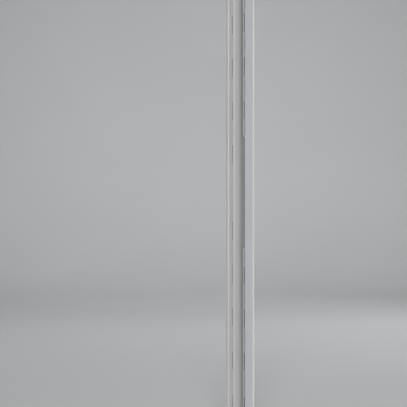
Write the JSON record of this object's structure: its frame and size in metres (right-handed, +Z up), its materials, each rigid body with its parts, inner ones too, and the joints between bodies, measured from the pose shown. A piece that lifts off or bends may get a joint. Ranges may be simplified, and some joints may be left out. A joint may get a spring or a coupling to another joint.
{
  "type": "piano hinge",
  "caption": "Continuous (piano) hinge for a sheet-steel cabinet: joggled, slotted frame leaf and flat door leaf on rolled knuckles, with the barrel left out at mid-length.",
  "frame": {"origin": "on the frame leaf's welding face, on the slotted strip 50 mm behind the pin axis, at mid-length; the pin axis is parallel to Z through X -2.75 mm, Y -50 mm", "axes": "+Z up along the pins; +X out of both leaves' welding faces, towards the sheets that they are welded on; +Y into the cabinet along the frame leaf, -Y along the door leaf in the flat-open rest pose"},
  "size_m": [0.0084, 0.104, 1.1],
  "materials": {
    "frame_leaf_coat": "fine-textured light grey powder coat, satin",
    "door_leaf_coat": "fine-textured light grey powder coat, satin",
    "pin_steel": "drawn steel wire, zinc plated"
  },
  "bodies": {
    "frame": {"frame_leaf": "frame_leaf_coat", "upper_pin": "pin_steel", "lower_pin": "pin_steel"},
    "door": {"door_leaf": "door_leaf_coat"}
  },
  "joints": [
    {"name": "door_swing", "type": "hinge", "parent": "frame", "child": "door", "pos_m": [-0.00275, -0.05, 0], "axis": [0, 0, 1], "range_deg": [-180, 90]}
  ]
}
